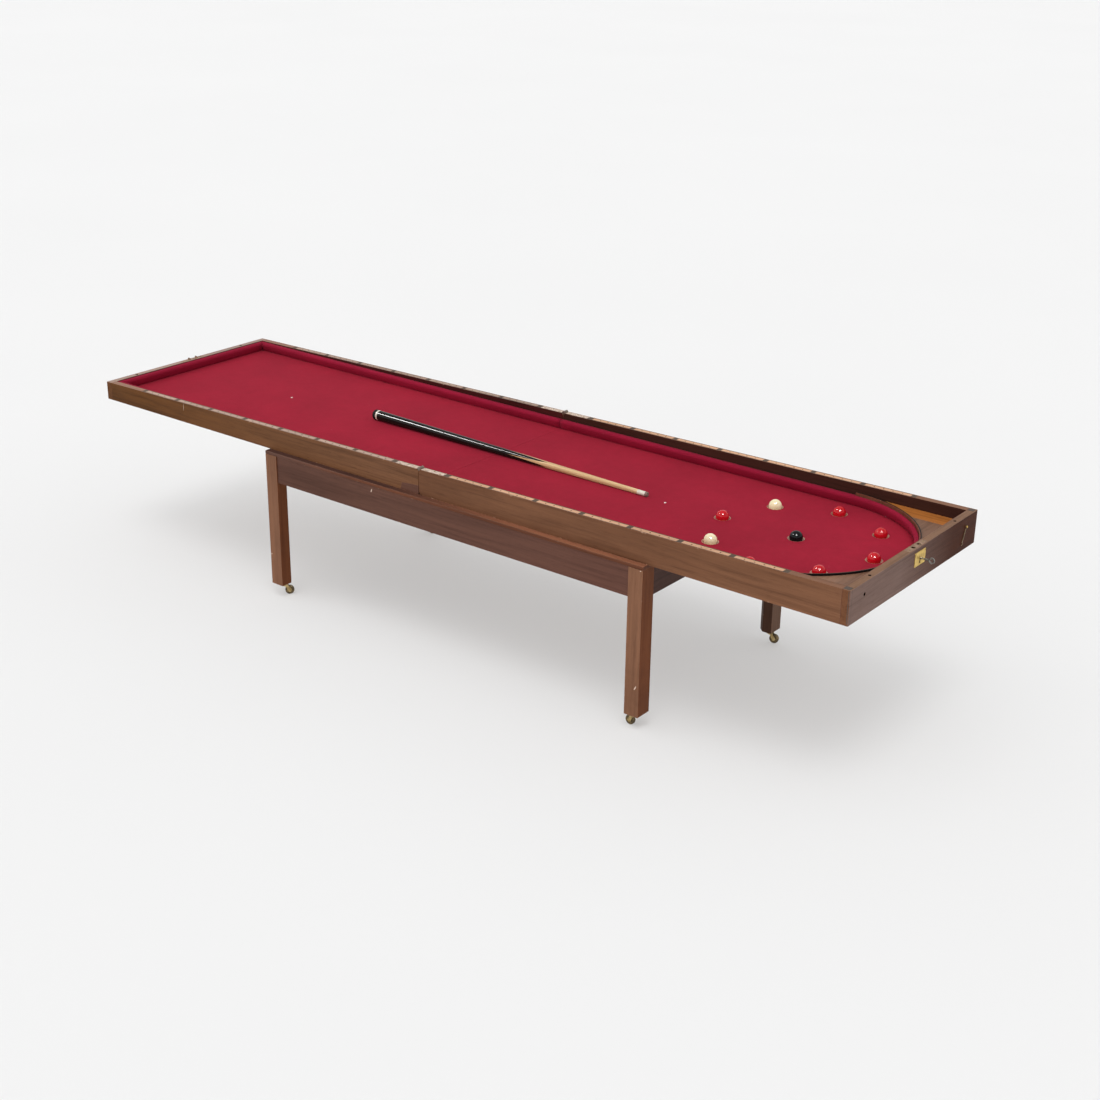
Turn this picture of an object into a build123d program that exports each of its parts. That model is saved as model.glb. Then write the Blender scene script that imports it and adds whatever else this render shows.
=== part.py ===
from build123d import *
from math import atan, copysign, cos, degrees, pi, sin
import os

# Folding bagatelle table on a low castored stand.  Millimetres, Z up, floor at
# Z = 0.  X runs along the table towards the cup end, Y across it.  Lengths are
# laid out from the fold seam; SHIFT_X then centres the whole table on X = 0.
SHIFT_X = -15.0

# board: two trays hinged at the seam, rims in one plane that climbs to the cup end
HALF = 1219.0
HALF_W = 305.0
RAIL = 20.0
IN_X = HALF - RAIL
IN_Y = HALF_W - RAIL
BASE = 424.0
RIM_MID = 67.0
RIM_RISE = 31.0 / 2438.0
SEAM = 0.3
RAIL_GAP = 0.9
CUSHION_GAP = 1.0
AXIS_Z = BASE + RIM_MID + 0.4
PANEL_LOW = BASE + 6.0
BED = BASE + 24.5
CLOTH = 1.0
CUSHION_TOP = BASE + 51.0
CUSHION_W = 16.0

# cup end
RING_X = 911.0
RING_R = 204.0
CUP_R = 20.5
CUP_FIT = 0.05
CUP_DEEP = 14.5
DISH_R = 20.0
DISH_LOW_R = 15.6
DISH_DEEP = 3.8
BALL_R = 16.0
BALL_Z = BED + 3.2
SEAT_R = 16.3
ARC_BACK = 280.0
ARC_STRIP = 282.5
BAND_TOP = CUSHION_TOP + 7.0
CORNER_TOP = BAND_TOP - 5.0
CORNER_SPLIT = 232.0

# scoring strips let into the long rims
STRIP_Y = 295.0
STRIP_W = 13.0
STRIP_DEEP = 3.0
BLOCK_FIRST = 90.2
BLOCK_PITCH = 138.4
BLOCKS = 8
BLOCK_L = 14.0
PEG_PITCH = 25.5
PEG_R = 2.1

# rim hinges
LEAF_L = 80.0
LEAF_W = 16.0
LEAF_T = 1.6
BARREL_R = 4.5
BARREL_ROOM = 5.1
KNUCKLE = 5.2
KNUCKLE_GAP = 0.2
PIN_R = 1.6

# lock, key, strike and the small fittings of the two ends
LOCK_Y = 10.0
KEY_Y = 14.0
KEY_Z = 479.0
END_X = HALF - RAIL / 2
CORNER_ROUND = 2.5
STAPLE_Y = 13.5
EYE_LOW = 502.4
EYE_HIGH = 504.8
MORTISE = 4.5
DOWEL_Y = 204.0
DOWEL_R = 4.0
HOOK_Y = 247.0
HOOK_Z = 482.0
HOOK_L = 42.0
HOOK_LEAN = 23.0
SPARE_Y = -240.0
SPARE_Z = 477.0
SPARE_R = 4.5

# stand
STAND_X0 = -538.0
STAND_X1 = 703.0
STAND_HW = 323.0
LEG_X = 40.0
LEG_Y = 46.0
LEG_INNER_CUT = 13.0
LEG_LOW = 35.0
STAND_TOP = 415.0
APRON_LOW = 339.0
APRON_T = 18.0
RECESS = 3.0
TENON_L = 14.0
TENON_T = 8.0
CAP_IN = 287.0

# castors
WHEEL_R = 12.5
WHEEL_W = 9.0
TRAIL = 16.0
STEM_R = 3.0
SOCKET_R = 3.05
CASTOR_TURNS = {"near_left": 50.0, "near_right": 178.0, "far_left": -8.0, "far_right": 14.0}

# cue
CUE_L = 934.0
CUE_BUTT_R = 14.0
CUE_TIP_R = 6.0
CUE_X = -445.0
CUE_Y = 7.0
CUE_YAW = -0.52
CUE_CUTS = {"bumper": 12.0, "ring": 18.0, "splice": 547.0, "ferrule": 904.0, "tip": 927.0}


def rim(x):
    return BASE + RIM_MID + RIM_RISE * x


def block(x0, x1, y0, y1, z0, z1):
    size = Box(x1 - x0, y1 - y0, z1 - z0)
    return Pos((x0 + x1) / 2, (y0 + y1) / 2, (z0 + z1) / 2) * size


def prism(points, y0, y1):
    face = make_face(Plane.XZ * Polyline(*points, close=True))
    return Pos(0, y1, 0) * extrude(face, amount=y1 - y0, dir=(0, -1, 0))


def under_rim(x0, x1, y0, y1, top, bottom):
    points = [(x0, rim(x0) - bottom), (x1, rim(x1) - bottom), (x1, rim(x1) - top), (x0, rim(x0) - top)]
    return prism(points, y0, y1)


def rod(radius, x, z, y0, y1):
    return Pos(x, (y0 + y1) / 2, z) * Rot(90, 0, 0) * Cylinder(radius, y1 - y0)


def post(radius, x, y, z0, z1):
    return Pos(x, y, (z0 + z1) / 2) * Cylinder(radius, z1 - z0)


def bar_x(radius, y, z, x0, x1):
    return Pos((x0 + x1) / 2, y, z) * Rot(0, 90, 0) * Cylinder(radius, x1 - x0)


def group(shapes):
    return Compound([solid for shape in shapes for solid in shape.solids()])


def divider_centres(side):
    return [side * (BLOCK_FIRST + k * BLOCK_PITCH) for k in range(BLOCKS)]


def segments(side):
    centres = sorted(divider_centres(side))
    return [(a + BLOCK_L / 2, b - BLOCK_L / 2) for a, b in zip(centres, centres[1:])]


def span(side, a, b):
    return (min(side * a, side * b), max(side * a, side * b))


# ---------------------------------------------------------------- board joinery

def long_rail(side, y0, y1):
    if side > 0:
        points = [
            (RAIL_GAP, BASE + 12), (2.5, BASE + 6.5), (6.5, BASE + 2), (12, BASE),
            (IN_X, BASE), (IN_X, rim(IN_X)), (RAIL_GAP, rim(RAIL_GAP)),
        ]
    else:
        points = [(-IN_X, BASE), (-RAIL_GAP, BASE), (-RAIL_GAP, rim(-RAIL_GAP)), (-IN_X, rim(-IN_X))]
    rail = prism(points, y0, y1)
    middle = (y0 + y1) / 2
    first, last = BLOCK_FIRST - BLOCK_L / 2, BLOCK_FIRST + (BLOCKS - 1) * BLOCK_PITCH + BLOCK_L / 2
    x0, x1 = span(side, first, last)
    rail -= under_rim(x0, x1, middle - STRIP_W / 2, middle + STRIP_W / 2, -1, STRIP_DEEP)
    x0, x1 = span(side, 0, LEAF_L)
    rail -= under_rim(x0, x1, middle - LEAF_W / 2, middle + LEAF_W / 2, -1, LEAF_T)
    return rail - rod(BARREL_ROOM, 0, AXIS_Z, y0 - 1, y1 + 1)


def end_rail_right():
    rail = under_rim(IN_X, HALF, -HALF_W, HALF_W, 0, rim(IN_X) - BASE - 4)
    rail += block(IN_X, HALF, -HALF_W, HALF_W, BASE, BASE + 30)
    rail = fillet(rail.edges().filter_by(Axis.Z).group_by(Axis.X)[-1], CORNER_ROUND)
    rail -= lock_room()
    rail -= key_room(IN_X, HALF + 1)
    for y in (-DOWEL_Y, DOWEL_Y):
        rail -= post(DOWEL_R, END_X, y, rim(END_X) - 10, rim(END_X) + 2)
    rail -= bar_x(1.5, HOOK_Y, HOOK_Z, HALF - 14, HALF + 1)
    return rail - bar_x(SPARE_R, SPARE_Y, SPARE_Z, HALF - 14, HALF + 1)


def end_rail_left():
    rail = under_rim(-HALF, -IN_X, -HALF_W, HALF_W, 0, rim(-IN_X) - BASE - 4)
    rail += block(-HALF, -IN_X, -HALF_W, HALF_W, BASE, BASE + 30)
    rail -= under_rim(-END_X - 7, -END_X + 7, LOCK_Y - 42, LOCK_Y + 42, -1, LEAF_T)
    for y in (-DOWEL_Y, DOWEL_Y):
        rail -= post(DOWEL_R, -END_X, y, rim(-END_X) - 10, rim(-END_X) + 2)
    return rail - bar_x(1.6, HOOK_Y, 2 * AXIS_Z - HOOK_Z - HOOK_L, -HALF - 1, -HALF + 12)


def cup_centres():
    ring = [(RING_X + RING_R * cos(k * pi / 4), RING_R * sin(k * pi / 4)) for k in range(8)]
    return ring + [(RING_X, 0.0)]


def bed_board_right():
    board = block(SEAM, IN_X, -IN_Y, IN_Y, PANEL_LOW, BED - CLOTH)
    for x, y in cup_centres():
        board -= post(CUP_R + CUP_FIT, x, y, BED - CUP_DEEP, BED)
    return board


def bed_board_left():
    return block(-IN_X, -SEAM, -IN_Y, IN_Y, PANEL_LOW, BED - CLOTH)


def cloth_right():
    sheet = block(SEAM, IN_X, -IN_Y, IN_Y, BED - CLOTH, BED)
    for x, y in cup_centres():
        sheet -= post(CUP_R + CUP_FIT, x, y, BED - 2, BED + 1)
    return sheet


def cloth_left():
    return block(-IN_X, -SEAM, -IN_Y, IN_Y, BED - CLOTH, BED)


def cup_rings():
    cups = []
    for x, y in cup_centres():
        cup = post(CUP_R, x, y, BED - CUP_DEEP, BED)
        cup -= Pos(x, y, BED - DISH_DEEP / 2) * Cone(DISH_LOW_R, DISH_R, DISH_DEEP)
        cups.append(cup - Pos(x, y, BALL_Z) * Sphere(SEAT_R))
    return group(cups)


# ---------------------------------------------------------------- cushions and cup end

def cushion_outline(back):
    nose = IN_Y - CUSHION_W
    return [
        (nose + 7, BED), (nose, BED + 17), (nose + 0.5, BED + 21.5), (nose + 2, BED + 24.6),
        (nose + 4.5, CUSHION_TOP), (back, CUSHION_TOP), (back, BED),
    ]


def straight_cushion(x0, x1):
    face = make_face(Plane.YZ * Polyline(*cushion_outline(IN_Y), close=True))
    return Pos(x0, 0, 0) * extrude(face, amount=x1 - x0, dir=(1, 0, 0))


def cushions_right():
    far = straight_cushion(CUSHION_GAP, RING_X)
    return group([far, mirror(far, about=Plane.XZ)])


def cushions_left():
    far = straight_cushion(-IN_X, -CUSHION_GAP)
    reach = IN_Y - CUSHION_W
    points = [(-IN_X + IN_Y - y, z) for y, z in cushion_outline(IN_Y)]
    return group([far, mirror(far, about=Plane.XZ), prism(points, -reach, reach)])


def swept(points):
    face = make_face(Plane.XZ * Polyline(*points, close=True))
    ring = revolve(face, Axis.Z, 180)
    return Pos(RING_X, 0, 0) * Rot(0, 0, -90) * ring


def half_ring(r0, r1, z0, z1):
    ring = post(r1, RING_X, 0, z0, z1) - post(r0, RING_X, 0, z0 - 1, z1 + 1)
    return ring & block(RING_X, RING_X + r1 + 1, -r1 - 1, r1 + 1, z0, z1)


def cushion_arc():
    return swept(cushion_outline(ARC_BACK))


def arc_strip():
    return half_ring(ARC_BACK, ARC_STRIP, BED, BAND_TOP - 0.5)


def arc_band():
    return half_ring(ARC_STRIP, IN_Y, BED, BAND_TOP)


def corner_floors():
    pieces = []
    for side in (-1, 1):
        for a, b in ((0, CORNER_SPLIT), (CORNER_SPLIT, IN_Y)):
            y0, y1 = span(side, a, b)
            piece = block(RING_X, IN_X, y0, y1, BED, CORNER_TOP)
            pieces.append(piece - post(IN_Y, RING_X, 0, BED - 1, CORNER_TOP + 1))
    return group(pieces)


def scoring_strips(side):
    strips = []
    for middle in (-STRIP_Y, STRIP_Y):
        for x0, x1 in segments(side):
            strip = under_rim(x0, x1, middle - STRIP_W / 2, middle + STRIP_W / 2, 0, STRIP_DEEP)
            for k in range(4):
                x = (x0 + x1) / 2 + (k - 1.5) * PEG_PITCH
                strip -= post(PEG_R, x, middle, rim(x) - STRIP_DEEP - 1, rim(x) + 1)
            strips.append(strip)
    return group(strips)


def scoring_dividers(side):
    blocks = []
    for middle in (-STRIP_Y, STRIP_Y):
        for x in divider_centres(side):
            x0, x1 = x - BLOCK_L / 2, x + BLOCK_L / 2
            blocks.append(under_rim(x0, x1, middle - STRIP_W / 2, middle + STRIP_W / 2, 0, STRIP_DEEP))
    return group(blocks)


# ---------------------------------------------------------------- rim hinges

def knuckle_spans(middle):
    step = KNUCKLE + KNUCKLE_GAP
    return [(middle - KNUCKLE / 2 + k * step, middle + KNUCKLE / 2 + k * step) for k in (-1, 0, 1)]


def hinge_leaf(side, middle):
    x0, x1 = span(side, RAIL_GAP, LEAF_L)
    leaf = under_rim(x0, x1, middle - LEAF_W / 2, middle + LEAF_W / 2, 0, LEAF_T)
    spans = knuckle_spans(middle)
    own = [spans[1]] if side < 0 else [spans[0], spans[2]]
    leaf -= rod(BARREL_ROOM, 0, AXIS_Z, middle - LEAF_W / 2 - 1, middle + LEAF_W / 2 + 1)
    for y0, y1 in own:
        web = side * (BARREL_ROOM + 1)
        a, b = sorted((side * 2.5, web))
        leaf += under_rim(a, b, y0, y1, 0, LEAF_T)
        leaf += rod(BARREL_R, 0, AXIS_Z, y0, y1)
    if side < 0:
        return leaf - rod(PIN_R + 0.06, 0, AXIS_Z, middle - 20, middle + 20)
    return leaf + rod(PIN_R, 0, AXIS_Z, middle - LEAF_W / 2, middle + LEAF_W / 2)


def hinge_leaves(side):
    return group([hinge_leaf(side, middle) for middle in (-STRIP_Y, STRIP_Y)])


# ---------------------------------------------------------------- lock, key and end fittings

def lock_room():
    case = block(END_X - 6, END_X + 6, LOCK_Y - 35, LOCK_Y + 35, 468, 505)
    return case + under_rim(END_X - 7, END_X + 7, LOCK_Y - 42, LOCK_Y + 42, -1, LEAF_T)


def key_room(x0, x1):
    hole = bar_x(2.8, KEY_Y, KEY_Z, END_X, x1)
    return hole + block(END_X, x1, KEY_Y - 1.4, KEY_Y + 1.4, KEY_Z - 6.5, KEY_Z)


def lock_case():
    case = block(END_X - 6, END_X + 6, LOCK_Y - 35, LOCK_Y + 35, 468, 505)
    case += under_rim(END_X - 7, END_X + 7, LOCK_Y - 42, LOCK_Y + 42, 0, LEAF_T)
    case -= block(END_X - 4.5, END_X + 4.5, LOCK_Y - 33, LOCK_Y + 33, 470, EYE_HIGH - 0.1)
    for offset in (-STAPLE_Y, STAPLE_Y):
        y = LOCK_Y + offset
        case -= block(END_X - MORTISE, END_X + MORTISE, y - MORTISE, y + MORTISE, 500, 510)
    case -= key_room(END_X, END_X + 8)
    return case - bar_x(1.65, KEY_Y, KEY_Z, END_X - 8, END_X)


def lock_bolt():
    x0, x1 = END_X - 1.5, END_X + 1.5
    bolt = block(x0, x1, LOCK_Y - 5.5, LOCK_Y + 24.5, 484.8, 489)
    for tip, root in ((-11.5, -2.5), (15.5, 24.5)):
        bolt += block(x0, x1, LOCK_Y + root - 3, LOCK_Y + root, 484.8, EYE_HIGH - 0.4)
        bolt += block(x0, x1, LOCK_Y + tip, LOCK_Y + root, EYE_LOW + 0.3, EYE_HIGH - 0.4)
    return bolt + block(x0, x1, KEY_Y - 5.7, KEY_Y - 2.7, 478, 485)


def lock_key():
    shaft = bar_x(2, KEY_Y, KEY_Z, END_X - 3, HALF + 22)
    shaft += bar_x(1.6, KEY_Y, KEY_Z, END_X - 5.8, END_X)
    shaft += block(END_X - 2, END_X + 2, KEY_Y - 1, KEY_Y + 1, KEY_Z - 4.8, KEY_Z)
    shaft += bar_x(3, KEY_Y, KEY_Z, HALF + 3, HALF + 5.5)
    bow = Pos(HALF + 29, KEY_Y, KEY_Z) * Rot(90, 0, 0) * Cylinder(7.5, 2.6)
    bow -= Pos(HALF + 29, KEY_Y, KEY_Z) * Rot(90, 0, 0) * Cylinder(4.6, 4)
    return shaft + bow


def escutcheon():
    plate = block(HALF, HALF + 1, KEY_Y - 25, KEY_Y + 25, 462, 496)
    plate = fillet(plate.edges().filter_by(Axis.X), 2)
    return plate - key_room(END_X, HALF + 2)


def hook_screw():
    screw = bar_x(1.5, HOOK_Y, HOOK_Z, HALF - 14, HALF + 2.4)
    screw += bar_x(2.7, HOOK_Y, HOOK_Z, HALF + 2.4, HALF + 3.8)
    slot = block(HALF + 3.2, HALF + 4, HOOK_Y - 3.5, HOOK_Y + 3.5, HOOK_Z - 0.4, HOOK_Z + 0.4)
    return screw - slot


def end_fittings_right():
    return group([escutcheon(), hook_screw()])


def hook():
    x0, x1 = HALF + 0.4, HALF + 2.0
    arm = block(x0, x1, -1.1, 1.1, -HOOK_L + 3.5, 0)
    arm += bar_x(3.2, 0, 0, x0, x1)
    arm += bar_x(4.0, 0, -HOOK_L, x0, x1)
    arm -= bar_x(1.56, 0, 0, x0 - 1, x1 + 1)
    arm -= bar_x(2.4, 0, -HOOK_L, x0 - 1, x1 + 1)
    arm -= block(x0 - 1, x1 + 1, -6, 0, -HOOK_L - 2.2, -HOOK_L + 2.2)
    return Pos(0, HOOK_Y, HOOK_Z) * Rot(-HOOK_LEAN, 0, 0) * arm


def end_fittings_left():
    top = rim(-END_X)
    strike = under_rim(-END_X - 7, -END_X + 7, LOCK_Y - 42, LOCK_Y + 42, 0, LEAF_T)
    eye_low, eye_high = 2 * AXIS_Z - EYE_HIGH, 2 * AXIS_Z - EYE_LOW
    for offset in (-STAPLE_Y, STAPLE_Y):
        y = LOCK_Y + offset
        staple = block(-END_X - 4, -END_X + 4, y - 1.5, y + 1.5, top - 1, eye_high + 1.2)
        strike += staple - block(-END_X - 2.4, -END_X + 2.4, y - 2, y + 2, eye_low, eye_high)
    shapes = [strike]
    z = 2 * AXIS_Z - HOOK_Z - HOOK_L
    stud = bar_x(1.6, HOOK_Y, z, -HALF - 2.4, -HALF + 12)
    shapes.append(stud + bar_x(3.2, HOOK_Y, z, -HALF - 3.8, -HALF - 2.4))
    return group(shapes)


# ---------------------------------------------------------------- balls and cue

def ball(index):
    x, y = cup_centres()[index]
    return Pos(x, y, BALL_Z) * Sphere(BALL_R)


def cue_radius(u):
    return CUE_BUTT_R + (CUE_TIP_R - CUE_BUTT_R) * u / CUE_L


def cue_piece(u0, u1):
    cone = Cone(cue_radius(u0), cue_radius(u1), u1 - u0)
    return Pos((u0 + u1) / 2, 0, 0) * Rot(0, 90, 0) * cone


def on_bed(shape):
    pitch = degrees(atan((CUE_BUTT_R - CUE_TIP_R) / CUE_L))
    return Pos(CUE_X, CUE_Y, BED + CUE_BUTT_R + 0.15) * Rot(0, pitch, CUE_YAW) * shape


def cue_butt():
    return on_bed(cue_piece(CUE_CUTS["ring"], CUE_CUTS["splice"]))


def cue_shaft():
    return on_bed(cue_piece(CUE_CUTS["splice"], CUE_CUTS["ferrule"]))


def cue_ferrules():
    ring = cue_piece(CUE_CUTS["bumper"], CUE_CUTS["ring"])
    return group([on_bed(ring), on_bed(cue_piece(CUE_CUTS["ferrule"], CUE_CUTS["tip"]))])


def cue_bumper():
    piece = cue_piece(0, CUE_CUTS["bumper"])
    return on_bed(fillet(piece.edges().group_by(Axis.X)[0], 3))


def cue_tip():
    piece = cue_piece(CUE_CUTS["tip"], CUE_L)
    return on_bed(fillet(piece.edges().group_by(Axis.X)[-1], 2.5))


# ---------------------------------------------------------------- stand

def corner_spots():
    xs = {"left": STAND_X0 + LEG_X / 2, "right": STAND_X1 - LEG_X / 2}
    ys = {"near": -STAND_HW + LEG_Y / 2, "far": STAND_HW - LEG_Y / 2}
    return {f"{b}_{a}": (xs[a], ys[b]) for a in xs for b in ys}


def apron(x0, x1, y0, y1, along_x):
    panel = block(x0, x1, y0, y1, APRON_LOW, STAND_TOP)
    low, high = APRON_LOW + 8, STAND_TOP - 8
    if along_x:
        middle = (y0 + y1) / 2
        return panel + block(x0 - TENON_L, x1 + TENON_L, middle - TENON_T / 2, middle + TENON_T / 2, low, high)
    middle = (x0 + x1) / 2
    return panel + block(middle - TENON_T / 2, middle + TENON_T / 2, y0 - TENON_L, y1 + TENON_L, low, high)


def apron_long(side):
    y0, y1 = span(side, STAND_HW - RECESS - APRON_T, STAND_HW - RECESS)
    return apron(STAND_X0 + LEG_X, STAND_X1 - LEG_X, y0, y1, True)


def aprons_end():
    inner = STAND_HW - LEG_Y
    left = apron(STAND_X0 + RECESS, STAND_X0 + RECESS + APRON_T, -inner, inner, False)
    right = apron(STAND_X1 - RECESS - APRON_T, STAND_X1 - RECESS, -inner, inner, False)
    return group([left, right])


def leg(name):
    x, y = corner_spots()[name]
    post_body = block(x - LEG_X / 2, x + LEG_X / 2, y - LEG_Y / 2, y + LEG_Y / 2, LEG_LOW, STAND_TOP)
    y0, y1 = span(copysign(1, y), STAND_HW - LEG_Y, CAP_IN)
    post_body += block(x - LEG_X / 2, x + LEG_X / 2, y0, y1, STAND_TOP, BASE)
    middle = ((STAND_X0 + STAND_X1) / 2, 0, (LEG_LOW + BASE) / 2)
    inner_edge = post_body.edges().filter_by(Axis.Z).sort_by_distance(middle)[0]
    post_body = chamfer(inner_edge, LEG_INNER_CUT)
    post_body = chamfer(post_body.edges().group_by(Axis.Z)[0], 1.5)
    for piece in (apron_long(-1), apron_long(1), aprons_end()):
        post_body -= piece
    return post_body - post(5, x, y, LEG_LOW - 1, LEG_LOW + 26)


def cap_strips():
    near = block(STAND_X0, STAND_X1, -STAND_HW, -CAP_IN, STAND_TOP, BASE)
    edges = near.edges().filter_by(Axis.X).group_by(Axis.Y)[0]
    near = fillet(edges, 2.5)
    return group([near, mirror(near, about=Plane.XZ)])


def castor_sockets():
    shapes = []
    for x, y in corner_spots().values():
        socket = block(x - 13, x + 13, y - 13, y + 13, LEG_LOW - 2, LEG_LOW)
        socket += post(5, x, y, LEG_LOW, LEG_LOW + 26)
        shapes.append(socket - post(SOCKET_R, x, y, LEG_LOW - 3, LEG_LOW + 23))
    return group(shapes)


def castor_turn(name):
    x, y = corner_spots()[name]
    return Pos(x, y, 0) * Rot(0, 0, CASTOR_TURNS[name])


def castor_fork(name):
    horn = post(STEM_R, 0, 0, 31, LEG_LOW + 20)
    horn += post(9, 0, 0, 29.6, LEG_LOW - 2.3)
    outline = [(-7, 32), (8, 32), (20, 16), (21, 12), (18, 8), (13.5, 8), (10.5, 12), (6, 23), (-4, 27)]
    for side in (-1, 1):
        y0, y1 = span(side, WHEEL_W / 2 + 0.4, WHEEL_W / 2 + 2.4)
        horn += prism(outline, y0, y1)
    horn += rod(1.5, TRAIL, WHEEL_R, -WHEEL_W / 2 - 3.2, WHEEL_W / 2 + 3.2)
    return castor_turn(name) * horn


def castor_wheel(name):
    wheel = Cylinder(WHEEL_R, WHEEL_W)
    wheel = fillet(wheel.edges(), 1.8)
    wheel -= Pos(0, 0, WHEEL_W / 2) * (Cylinder(9.2, 2.4) - Cylinder(3.6, 2.4))
    wheel -= Pos(0, 0, -WHEEL_W / 2) * (Cylinder(9.2, 2.4) - Cylinder(3.6, 2.4))
    wheel -= Cylinder(1.56, 2 * WHEEL_W)
    return castor_turn(name) * Pos(TRAIL, 0, WHEEL_R) * Rot(90, 0, 0) * wheel


BALLS = (
    ("ball_red_end", 0), ("ball_red_far_right", 1), ("ball_red_far", 2), ("ball_white_far", 3),
    ("ball_red_left", 4), ("ball_white_near", 5), ("ball_red_near", 6), ("ball_red_near_right", 7),
    ("ball_black", 8),
)

PARTS = {
    "apron_front": apron_long(-1),
    "apron_back": apron_long(1),
    "aprons_end": aprons_end(),
    "cap_strips": cap_strips(),
    "castor_sockets": castor_sockets(),
    "bed_board_right": bed_board_right(),
    "cloth_right": cloth_right(),
    "rail_near_right": long_rail(1, -HALF_W, -IN_Y),
    "rail_far_right": long_rail(1, IN_Y, HALF_W),
    "end_rail_right": end_rail_right(),
    "cushions_right": cushions_right(),
    "cushion_arc": cushion_arc(),
    "arc_strip": arc_strip(),
    "arc_band": arc_band(),
    "corner_floors": corner_floors(),
    "cup_rings": cup_rings(),
    "scoring_strips_right": scoring_strips(1),
    "scoring_dividers_right": scoring_dividers(1),
    "hinge_leaves_right": hinge_leaves(1),
    "lock_case": lock_case(),
    "lock_bolt": lock_bolt(),
    "lock_key": lock_key(),
    "end_fittings_right": end_fittings_right(),
    "hook": hook(),
    "bed_board_left": bed_board_left(),
    "cloth_left": cloth_left(),
    "rail_near_left": long_rail(-1, -HALF_W, -IN_Y),
    "rail_far_left": long_rail(-1, IN_Y, HALF_W),
    "end_rail_left": end_rail_left(),
    "cushions_left": cushions_left(),
    "scoring_strips_left": scoring_strips(-1),
    "scoring_dividers_left": scoring_dividers(-1),
    "hinge_leaves_left": hinge_leaves(-1),
    "end_fittings_left": end_fittings_left(),
    "cue_butt": cue_butt(),
    "cue_shaft": cue_shaft(),
    "cue_ferrules": cue_ferrules(),
    "cue_bumper": cue_bumper(),
    "cue_tip": cue_tip(),
}
for spot in corner_spots():
    PARTS[f"leg_{spot}"] = leg(spot)
    PARTS[f"castor_fork_{spot}"] = castor_fork(spot)
    PARTS[f"castor_wheel_{spot}"] = castor_wheel(spot)
for ball_name, cup_index in BALLS:
    PARTS[ball_name] = ball(cup_index)

os.makedirs("parts", exist_ok=True)
for node, shape in PARTS.items():
    export_step(Pos(SHIFT_X, 0, 0) * shape, f"parts/{node}.step")
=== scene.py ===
import math
import random

import bmesh
import bpy
from mathutils import Matrix, Vector


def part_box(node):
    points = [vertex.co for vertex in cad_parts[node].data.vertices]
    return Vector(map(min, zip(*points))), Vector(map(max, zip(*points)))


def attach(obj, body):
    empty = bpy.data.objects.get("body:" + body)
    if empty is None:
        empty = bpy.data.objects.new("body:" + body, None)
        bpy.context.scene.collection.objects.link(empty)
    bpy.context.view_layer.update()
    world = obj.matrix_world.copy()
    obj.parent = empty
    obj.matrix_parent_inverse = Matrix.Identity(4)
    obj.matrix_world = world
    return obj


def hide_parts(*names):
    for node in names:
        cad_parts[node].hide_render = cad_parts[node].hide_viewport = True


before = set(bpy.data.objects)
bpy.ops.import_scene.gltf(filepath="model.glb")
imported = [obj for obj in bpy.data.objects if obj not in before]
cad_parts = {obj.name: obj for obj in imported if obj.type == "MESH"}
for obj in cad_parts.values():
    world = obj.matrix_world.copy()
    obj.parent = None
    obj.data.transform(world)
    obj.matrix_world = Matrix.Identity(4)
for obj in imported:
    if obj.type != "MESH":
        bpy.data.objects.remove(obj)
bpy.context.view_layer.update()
random.seed(7)

# Places that everything else is worked out from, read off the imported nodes
SEAM_X = (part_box("cloth_left")[1][0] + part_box("cloth_right")[0][0]) / 2
BED_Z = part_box("cloth_right")[1][2]
BED_LOW_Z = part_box("cloth_right")[0][2]
WALL_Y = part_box("cloth_right")[1][1]
LEFT_WALL_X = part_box("cloth_left")[0][0]
RIGHT_WALL_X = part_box("cloth_right")[1][0]
BOARD_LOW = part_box("rail_near_left")[0][2]
END_FACE_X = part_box("end_rail_right")[1][0]
LEFT_FACE_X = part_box("end_rail_left")[0][0]
RIM_RISE = 31.0 / 2438.0
RIM_MID_Z = BOARD_LOW + 0.067
CUSHION_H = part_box("cushions_right")[1][2] - BED_Z
CUSHION_W = 0.016
RAIL_W = 0.020
RING_X = (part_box("cup_rings")[0][0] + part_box("cup_rings")[1][0]) / 2
CUP_R = 0.0205
RING_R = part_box("cup_rings")[1][0] - RING_X - CUP_R
ARC_BACK_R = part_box("cushion_arc")[1][0] - RING_X
STRIP_Y = 0.295
STRIP_HALF_W = 0.0080
STRIP_END = 1.066
KNUCKLE_REACH = 0.0055
KNUCKLE_FADE = 0.0020
BODY_SIDE = {"board": "right", "board_left": "left"}
SIDES = ((-1, "near"), (1, "far"))


def rim_z(x):
    """Height of the sloping rim, on the middle of its width."""
    return RIM_MID_Z + RIM_RISE * (x - SEAM_X)


# ------------------------------------------------------------------ node helpers

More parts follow.
